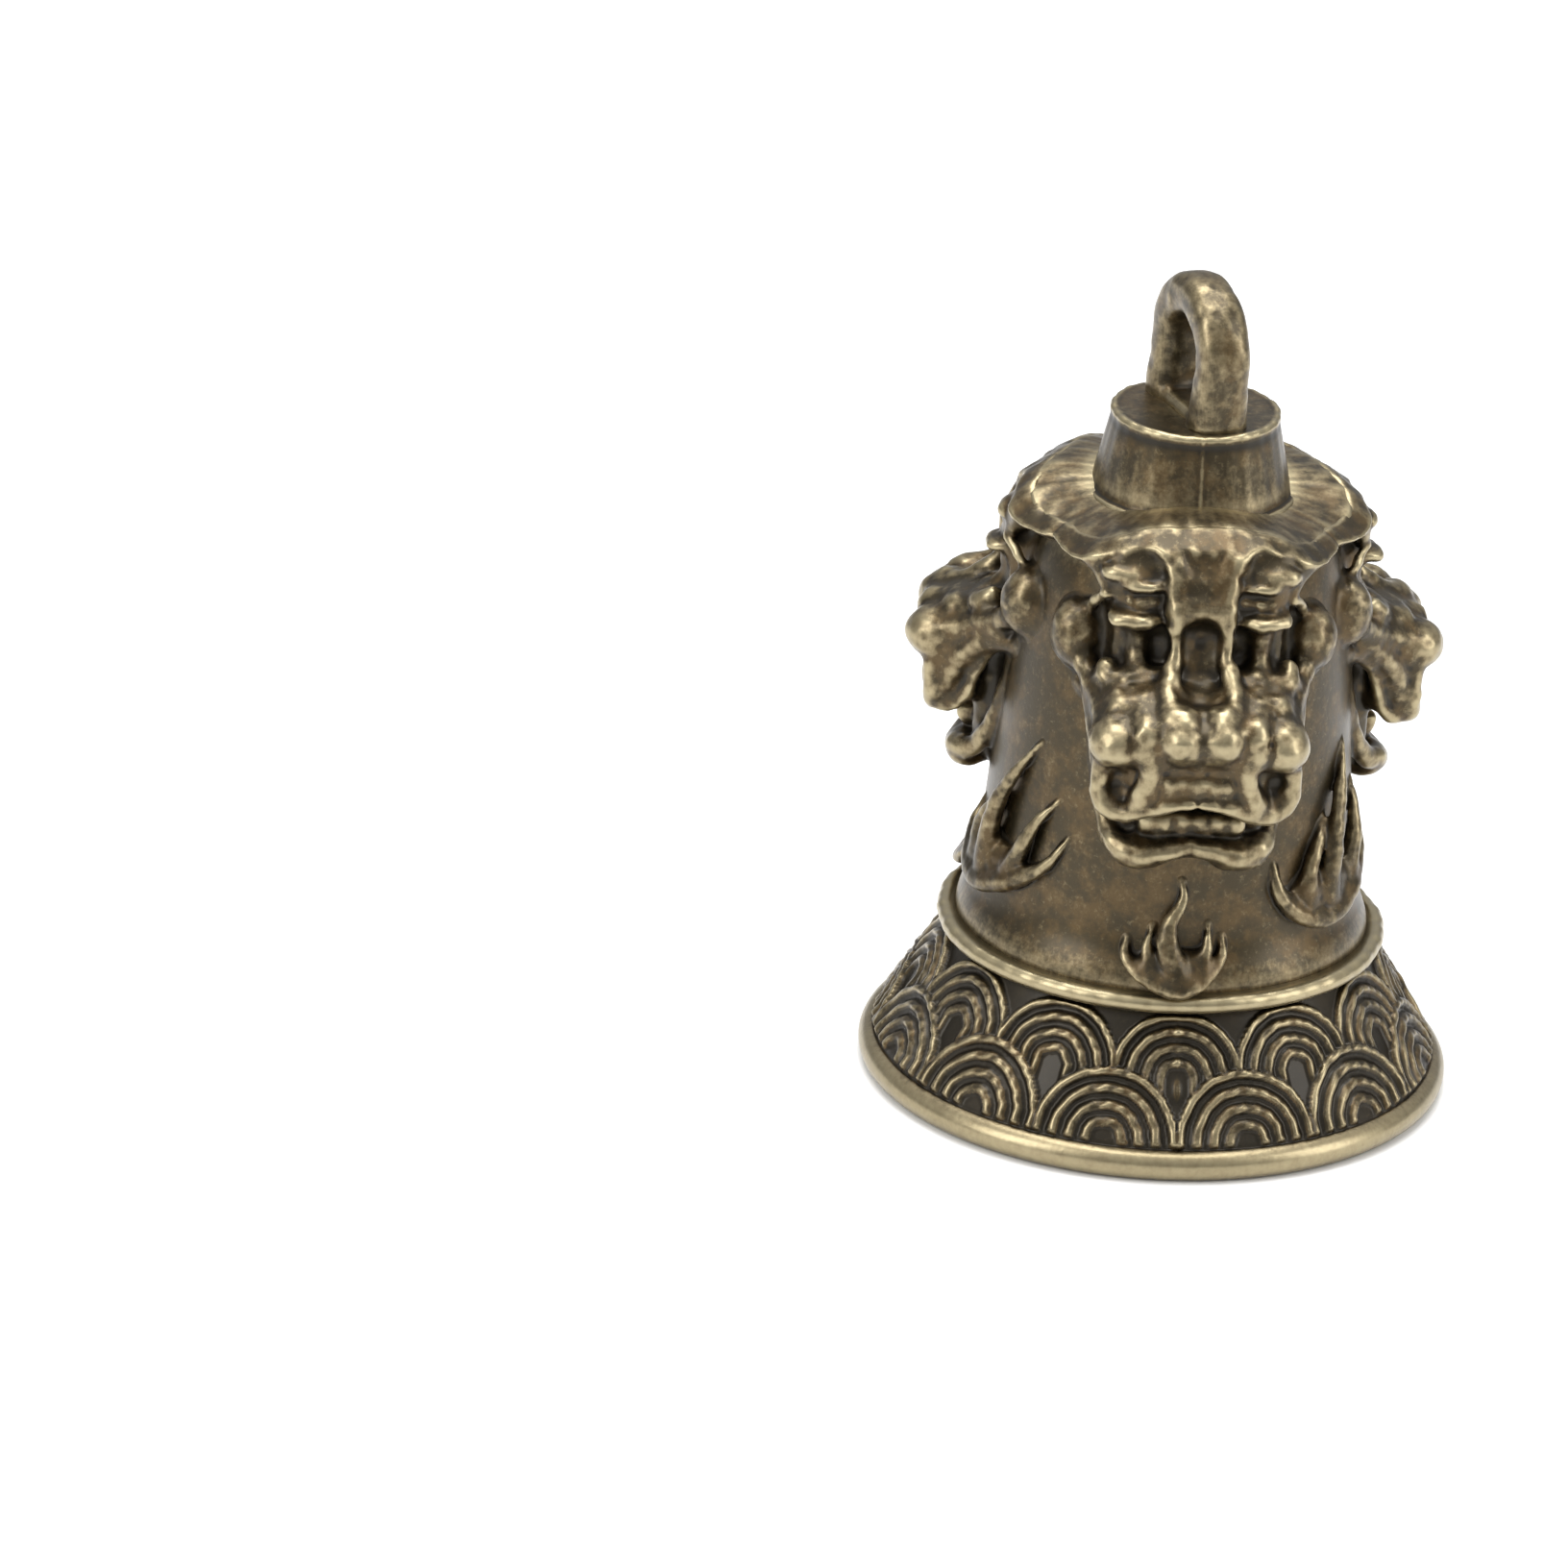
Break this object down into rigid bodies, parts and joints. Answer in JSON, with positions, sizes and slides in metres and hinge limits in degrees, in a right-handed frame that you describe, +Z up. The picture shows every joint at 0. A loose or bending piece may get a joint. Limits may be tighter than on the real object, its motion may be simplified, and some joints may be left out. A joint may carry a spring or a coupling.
{
  "type": "temple bell",
  "caption": "Small cast temple bell with a flared scale-covered skirt, dragon heads round its shoulder, claws in relief, a hanging loop and a swinging ball clapper.",
  "frame": {"origin": "centre of the mouth, on the plane that the lip stands on", "axes": "+Z up the bell's axis to the hanging loop, -Y out through the front dragon's snout"},
  "size_m": [0.03, 0.03, 0.043],
  "materials": {
    "cast_brass": "antiqued cast brass, brown patina with orange mottling",
    "relief_brass": "antiqued cast brass, dark recesses and bright worn edges",
    "worn_brass": "brass worn bright, brushed",
    "clapper_wire": "dull dark brass wire",
    "clapper_brass": "turned brass, satin"
  },
  "bodies": {
    "bell": {"bell_shell": "cast_brass", "waist_ring": "worn_brass", "crown_plate": "cast_brass", "crown_collar": "cast_brass", "hanger_loop": "worn_brass", "dragon_head_front": "relief_brass", "dragon_head_right": "relief_brass", "dragon_head_left": "relief_brass", "lower_claw_front": "relief_brass", "lower_claw_right": "relief_brass", "lower_claw_left": "relief_brass", "upper_claw_right": "relief_brass", "upper_claw_back": "relief_brass", "upper_claw_left": "relief_brass", "clapper_staple": "clapper_wire"},
    "link": {"clapper_link": "clapper_wire"},
    "clapper": {"clapper_rod": "clapper_wire", "clapper_ball": "clapper_brass"}
  },
  "joints": [
    {"name": "link_swing", "type": "hinge", "parent": "bell", "child": "link", "pos_m": [0, 0, 0.0258], "axis": [1, 0, 0], "range_deg": [-14, 14]},
    {"name": "clapper_swing", "type": "hinge", "parent": "link", "child": "clapper", "pos_m": [0, 0, 0.0234], "axis": [0, 1, 0], "range_deg": [-14, 14]}
  ]
}
